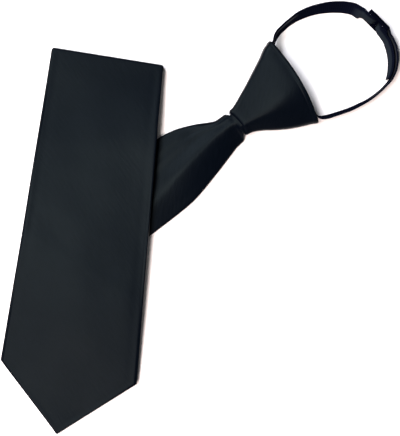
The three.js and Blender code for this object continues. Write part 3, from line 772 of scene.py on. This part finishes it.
# Ribbon section: rounded selvedges, each with a narrow raised hem, and a slightly thinner middle
RIBBON_SIDE_POINTS = 14
RIBBON_HEM = 1.0
RIBBON_HEM_SLOPE = 0.8
RIBBON_HOLLOW = 0.14
RIBBON_CORNER = 0.3
RIBBON_SOFT = 0.09
STRAP_STEPS = 8
UPRIGHT = 1e-6


def ribbon_section():
    half = RIBBON / 2
    heights = np.linspace(RIBBON_CORNER, RIBBON_WIDTH - RIBBON_CORNER, RIBBON_SIDE_POINTS)
    from_edge = np.minimum(heights, RIBBON_WIDTH - heights)
    hollow = RIBBON_HOLLOW * smooth((from_edge - RIBBON_HEM) / RIBBON_HEM_SLOPE)
    up_side = [(half - h, y) for y, h in zip(heights, hollow)]
    down_side = [(-half + h, y) for y, h in zip(heights[::-1], hollow[::-1])]
    inner = half - RIBBON_CORNER
    outer = half - RIBBON_SOFT
    bottom = [(-outer, RIBBON_SOFT), (-inner, 0.0), (inner, 0.0), (outer, RIBBON_SOFT)]
    top = [(x, RIBBON_WIDTH - y) for x, y in bottom[::-1]]
    return bottom + up_side + top + down_side


def make_strap(name, rows):
    places = [(x, y, rise) for x, y, rise, _, _ in rows]
    leans = [(out[0] * lean, out[1] * lean, 0.0) for _, _, _, lean, out in rows]
    corners = np.array(ribbon_section())
    steps = STRAP_STEPS * (len(rows) - 1)
    sections = []
    for k in range(steps + 1):
        place, heading = through(places, k / steps)
        leaning, _ = through(leans, k / steps)
        angle = math.radians(float(np.linalg.norm(leaning)))
        level = unit(leaning) if angle > UPRIGHT else np.zeros(3)
        up = level * math.sin(angle) + np.array([0, 0, math.cos(angle)])
        thick = unit(np.cross(up, heading))
        place[2] = max(place[2], 0) + RIBBON / 2 * abs(thick[2]) + STRAP_RISE
        ring = place + corners[:, :1] * thick + corners[:, 1:] * up
        sections.append((ring, corners[:, 1]))
    return mesh_from_sections(name, sections)


# Slide: moulded in one, two thick rails joined by three bars, with the ribbon passing its slots. It
# is a block of cells between these places along it, up it and through it, less its slots' cells.
ALONG_SLIDE = (-7.5, -7.0, -6.4, -5.9, -0.8, -0.3, 0.3, 0.8, 5.9, 6.4, 7.0, 7.5)
UP_SLIDE = (0.0, 0.4, 0.8, 1.1, 1.25, 1.4, 11.8, 11.95, 12.1, 12.6, 13.15, 13.6)
THROUGH_SLIDE = (-0.75, -0.25, 0.25, 0.75)
SLOT_ALONG = (3, 7)
SLOT_UP = (3, 4, 5, 6, 7)
RAIL_THICKER = 1.6
SLIDE_ROUNDING = 2
CELL_SIDES = {
    (-1, 0, 0): ((0, 0, 0), (0, 0, 1), (0, 1, 1), (0, 1, 0)),
    (1, 0, 0): ((1, 0, 0), (1, 1, 0), (1, 1, 1), (1, 0, 1)),
    (0, -1, 0): ((0, 0, 0), (1, 0, 0), (1, 0, 1), (0, 0, 1)),
    (0, 1, 0): ((0, 1, 0), (0, 1, 1), (1, 1, 1), (1, 1, 0)),
    (0, 0, -1): ((0, 0, 0), (0, 1, 0), (1, 1, 0), (1, 0, 0)),
    (0, 0, 1): ((0, 0, 1), (1, 0, 1), (1, 1, 1), (0, 1, 1)),
}


def solid_cell(i, j, k):
    cells = (len(ALONG_SLIDE) - 1, len(UP_SLIDE) - 1, len(THROUGH_SLIDE) - 1)
    inside = all(0 <= n < count for n, count in zip((i, j, k), cells))
    return inside and not (i in SLOT_ALONG and j in SLOT_UP)


def make_slide():
    lean = math.radians(SLIDE_LEAN)
    along = np.append(SLIDE_ALONG, 0.0)
    out = np.append(SLIDE_OUT * math.cos(lean), -math.sin(lean))
    up = np.append(SLIDE_OUT * math.sin(lean), math.cos(lean))
    foot = np.append(SLIDE_AT, SLIDE_RISE) + TO_MIDDLE
    points = []
    number = {}
    faces = []

    def corner(i, j, k):
        if (i, j, k) not in number:
            rail = j <= SLOT_UP[0] or j > SLOT_UP[-1]
            thick = THROUGH_SLIDE[k] * (RAIL_THICKER if rail else 1.0)
            number[i, j, k] = len(points)
            points.append((foot + ALONG_SLIDE[i] * along + UP_SLIDE[j] * up + thick * out) * MM)
        return number[i, j, k]

    for i in range(len(ALONG_SLIDE) - 1):
        for j in range(len(UP_SLIDE) - 1):
            for k in range(len(THROUGH_SLIDE) - 1):
                if not solid_cell(i, j, k):
                    continue
                for step, corners in CELL_SIDES.items():
                    if not solid_cell(i + step[0], j + step[1], k + step[2]):
                        faces.append([corner(i + a, j + b, k + c) for a, b, c in corners])
    mesh = bpy.data.meshes.new("slide")
    mesh.from_pydata([tuple(point) for point in points], [], faces)
    piece = smooth_piece("slide", mesh)
    rounding = piece.modifiers.new("moulded edges", "SUBSURF")
    rounding.levels = SLIDE_ROUNDING
    rounding.render_levels = SLIDE_ROUNDING
    return piece


# Colours are sRGB codes, and one small function adds each node of a material
def colour(code):
    parts = [int(code[i:i + 2], 16) / 255 for i in (1, 3, 5)]
    linear = [p / 12.92 if p <= 0.04045 else ((p + 0.055) / 1.055) ** 2.4 for p in parts]
    return (*linear, 1.0)


def add(tree, kind, inputs=None, **settings):
    made = tree.nodes.new(kind)
    for name, value in settings.items():
        setattr(made, name, value)
    for name, value in (inputs or {}).items():
        if isinstance(value, bpy.types.NodeSocket):
            tree.links.new(value, made.inputs[name])
        else:
            made.inputs[name].default_value = value
    return made


def new_material(name):
    material = bpy.data.materials.new(name)
    material.use_nodes = True
    material.node_tree.nodes.clear()
    return material, material.node_tree


def add_surface(tree, inputs):
    shader = add(tree, "ShaderNodeBsdfPrincipled", inputs)
    add(tree, "ShaderNodeOutputMaterial", {"Surface": shader.outputs["BSDF"]})


# Polyester satin, woven with long floats and cut on the bias: a soft broad gloss over near-black,
# with a fine diagonal grain. The floats are 0.3 mm apart; the grain is drawn at 1.2 mm to show.
SATIN_GRAIN = 1.2 * MM
SATIN_FLOAT = 7.5 * MM
SATIN_BIAS = math.radians(45)
CLOUD_SIZE = 26 * MM


def polyester_satin():
    material, tree = new_material("black polyester satin")
    cloth = add(tree, "ShaderNodeUVMap", uv_map="cloth")
    bias = add(tree, "ShaderNodeMapping", {
        "Vector": cloth.outputs["UV"], "Rotation": (0, 0, SATIN_BIAS),
    })
    woven = add(tree, "ShaderNodeMapping", {
        "Vector": bias.outputs["Vector"], "Scale": (1 / SATIN_GRAIN, 1 / SATIN_FLOAT, 1),
    })
    floats = add(tree, "ShaderNodeTexNoise", {
        "Vector": woven.outputs["Vector"], "Scale": 1.0, "Detail": 3.0, "Roughness": 0.6,
    }, noise_dimensions="2D")
    clouds = add(tree, "ShaderNodeTexNoise", {
        "Vector": cloth.outputs["UV"], "Scale": 1 / CLOUD_SIZE, "Detail": 2.0,
    }, noise_dimensions="2D")
    tone = add(tree, "ShaderNodeMix", {
        "Factor": floats.outputs["Fac"], "A": colour("#010307"), "B": colour("#04070e"),
    }, data_type="RGBA")
    gloss = add(tree, "ShaderNodeMapRange", {
        "Value": clouds.outputs["Fac"], "To Min": 0.36, "To Max": 0.42,
    })
    grain = add(tree, "ShaderNodeBump", {
        "Height": floats.outputs["Fac"], "Strength": 0.4, "Distance": 0.12 * MM,
    })
    add_surface(tree, {
        "Base Color": tone.outputs["Result"],
        "Roughness": gloss.outputs["Result"],
        "Specular IOR Level": 0.034,
        "Specular Tint": colour("#e0fafa"),
        "Normal": grain.outputs["Normal"],
    })
    return material


# Woven polyester ribbon: flatter and duller than the satin, with fine ribs across it. The part
# that runs through the slide is painted paler, all but its upper border: this is painted sheen. A
# narrow line where that border begins is a painted highlight, as far as a set length. The ribs are
# 0.4 mm apart; they are drawn at 1.2 mm to show. A wave texture of scale 1 repeats every 0.314
# units. Lengths run from the first end of each ribbon. The right one has no painted sheen: its
# place lies past its other end.
RIBBON_RIB = 1.2 * MM
WAVE_PERIOD = 0.314
# Where the painted highlight line and the painted sheen lie across and along the ribbons
PAINTED_HIGHLIGHT_AT = 7.2 * MM
PAINTED_HIGHLIGHT_HALF = 1.1 * MM
PAINTED_LIGHT_FADE = 6 * MM
PAINTED_SHEEN_UP_TO = 6.2 * MM
PAINTED_SHEEN_BORDER = 1.6 * MM
LEFT_PAINTED_SHEEN_FROM = 67 * MM
RIGHT_PAINTED_SHEEN_FROM = 1000 * MM
LEFT_PAINTED_HIGHLIGHT_TO = 30 * MM
RIGHT_PAINTED_HIGHLIGHT_TO = 52 * MM


def woven_ribbon(name, painted_sheen_from, painted_highlight_to):
    material, tree = new_material(name)
    cloth = add(tree, "ShaderNodeUVMap", uv_map="cloth")
    place = add(tree, "ShaderNodeSeparateXYZ", {"Vector": cloth.outputs["UV"]})
    ribs = add(tree, "ShaderNodeTexWave", {
        "Vector": cloth.outputs["UV"], "Scale": WAVE_PERIOD / RIBBON_RIB, "Distortion": 0.6,
    }, bands_direction="Y")
    grain = add(tree, "ShaderNodeBump", {
        "Height": ribs.outputs["Fac"], "Strength": 0.2, "Distance": 0.06 * MM,
    })
    woven = add(tree, "ShaderNodeMix", {
        "Factor": ribs.outputs["Fac"], "A": colour("#04060d"), "B": colour("#090c19"),
    }, data_type="RGBA")
    # Painted sheen: paler from a set length on, below the upper border
    painted_sheen_along = add(tree, "ShaderNodeMapRange", {
        "Value": place.outputs["Y"], "From Min": painted_sheen_from, "From Max": painted_sheen_from + PAINTED_LIGHT_FADE,
    })
    painted_sheen_under_border = add(tree, "ShaderNodeMapRange", {
        "Value": place.outputs["X"],
        "From Min": PAINTED_SHEEN_UP_TO, "From Max": PAINTED_SHEEN_UP_TO + PAINTED_SHEEN_BORDER,
        "To Min": 1.0, "To Max": 0.0,
    })
    painted_sheen_mask = add(tree, "ShaderNodeMath", {
        0: painted_sheen_along.outputs["Result"], 1: painted_sheen_under_border.outputs["Result"],
    }, operation="MULTIPLY")
    with_painted_sheen = add(tree, "ShaderNodeMix", {
        "Factor": painted_sheen_mask.outputs["Value"], "A": woven.outputs["Result"], "B": colour("#191e24"),
    }, data_type="RGBA")
    # Painted highlight: a pale line near the upper border, from each ribbon's first end to a set
    # length
    painted_highlight_reach = add(tree, "ShaderNodeMapRange", {
        "Value": place.outputs["Y"], "From Min": painted_highlight_to, "From Max": painted_highlight_to + PAINTED_LIGHT_FADE,
        "To Min": 1.0, "To Max": 0.0,
    })
    painted_highlight_line = add(tree, "ShaderNodeMath", {
        0: place.outputs["X"], 1: PAINTED_HIGHLIGHT_AT, 2: PAINTED_HIGHLIGHT_HALF,
    }, operation="COMPARE")
    painted_highlight_mask = add(tree, "ShaderNodeMath", {
        0: painted_highlight_line.outputs["Value"], 1: painted_highlight_reach.outputs["Result"],
    }, operation="MULTIPLY")
    tone = add(tree, "ShaderNodeMix", {
        "Factor": painted_highlight_mask.outputs["Value"], "A": with_painted_sheen.outputs["Result"], "B": colour("#34363b"),
    }, data_type="RGBA")
    add_surface(tree, {
        "Base Color": tone.outputs["Result"],
        "Roughness": 0.5,
        "Specular IOR Level": 0.0,
        "Normal": grain.outputs["Normal"],
    })
    return material


# Moulded acetal slide, dyed black: even and matt, with the faint grain of its mould
MOULD_GRAIN = 0.5 * MM


def moulded_acetal():
    material, tree = new_material("black moulded acetal")
    place = add(tree, "ShaderNodeTexCoord")
    mould = add(tree, "ShaderNodeTexNoise", {
        "Vector": place.outputs["Object"], "Scale": 1 / MOULD_GRAIN, "Detail": 2.0,
    })
    grain = add(tree, "ShaderNodeBump", {
        "Height": mould.outputs["Fac"], "Strength": 0.1, "Distance": 0.03 * MM,
    })
    add_surface(tree, {
        "Base Color": colour("#03040c"),
        "Roughness": 0.42,
        "Specular IOR Level": 0.0,
        "Normal": grain.outputs["Normal"],
    })
    return material


# Painted table top, white and matt
def white_paint():
    material, tree = new_material("white matt paint")
    add_surface(tree, {
        "Base Color": colour("#f4f4f4"), "Roughness": 0.9, "Specular IOR Level": 0.1,
    })
    return material


# Stage, in metres: a floor, a camera straight above it and four soft lights in a dim white room
FLOOR_HALF = 3.0
CAMERA_HEIGHT = 0.7
CAMERA_OVER = (0.00075, 0.00047)
CAMERA_SENSOR = 36.0
FRAME_LENGTH = 0.25401
LIGHTS = [
    ("window", (-0.78, 0.9, 1.6), 0.55, 34.0, "#f6f6ff"),
    ("ceiling", (-0.48, -0.05, 1.6), 0.5, 24.5, "#fffaf8"),
    ("doorway", (-0.47, -0.87, 1.55), 0.6, 31.0, "#ffe8e2"),
    ("side window", (-1.4, 0.45, 0.75), 0.7, 14.0, "#f8f6ff"),
]
ROOM_GLOW = 0.12


def make_floor():
    mesh = bpy.data.meshes.new("floor")
    corners = [(x * FLOOR_HALF, y * FLOOR_HALF, 0) for x, y in ((-1, -1), (1, -1), (1, 1), (-1, 1))]
    mesh.from_pydata(corners, [], [(0, 1, 2, 3)])
    mesh.materials.append(white_paint())
    floor = in_scene("floor", mesh)


def make_camera():
    lens = bpy.data.cameras.new("camera")
    lens.sensor_width = CAMERA_SENSOR
    lens.lens = CAMERA_SENSOR * CAMERA_HEIGHT / FRAME_LENGTH
    camera = in_scene("camera", lens)
    camera.location = (*CAMERA_OVER, CAMERA_HEIGHT)
    bpy.context.scene.camera = camera


def soft_light(name, place, size, watts, tint):
    lamp = bpy.data.lights.new(name, "AREA")
    lamp.shape = "SQUARE"
    lamp.size = size
    lamp.energy = watts
    lamp.color = colour(tint)[:3]
    light = in_scene(name, lamp)
    light.location = place
    light.rotation_mode = "QUATERNION"
    light.rotation_quaternion = (-Vector(place)).to_track_quat("-Z", "Y")


def make_room():
    for light in LIGHTS:
        soft_light(*light)
    world = bpy.data.worlds.new("room")
    world.use_nodes = True
    background = world.node_tree.nodes["Background"]
    background.inputs["Color"].default_value = colour("#ffffff")
    background.inputs["Strength"].default_value = ROOM_GLOW
    bpy.context.scene.world = world
    bpy.context.scene.view_settings.view_transform = "Standard"


# Each piece takes its material, rides the one body and stands in for its solid
def dress(piece, material, nodes):
    piece.data.materials.append(material)
    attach(piece, "root")
    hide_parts(*nodes)
    return piece


def main():
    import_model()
    make_camera()
    make_room()
    make_floor()
    satin = polyester_satin()
    # The left ribbon carries painted sheen at the slide; both carry a painted highlight line
    ribbon_with_painted_sheen = woven_ribbon(
        "black woven ribbon, with painted sheen at the slide", LEFT_PAINTED_SHEEN_FROM, LEFT_PAINTED_HIGHLIGHT_TO
    )
    ribbon = woven_ribbon("black woven ribbon", RIGHT_PAINTED_SHEEN_FROM, RIGHT_PAINTED_HIGHLIGHT_TO)
    blade = dress(make_blade(), satin, ["blade"])
    knot = dress(make_knot(), satin, ["knot"])
    dress(make_strap("ribbon_left", LEFT_STRAP), ribbon_with_painted_sheen, ["strap_left"])
    dress(make_strap("ribbon_right", RIGHT_STRAP), ribbon, ["strap_right"])
    dress(make_slide(), moulded_acetal(), ["slider"])


main()
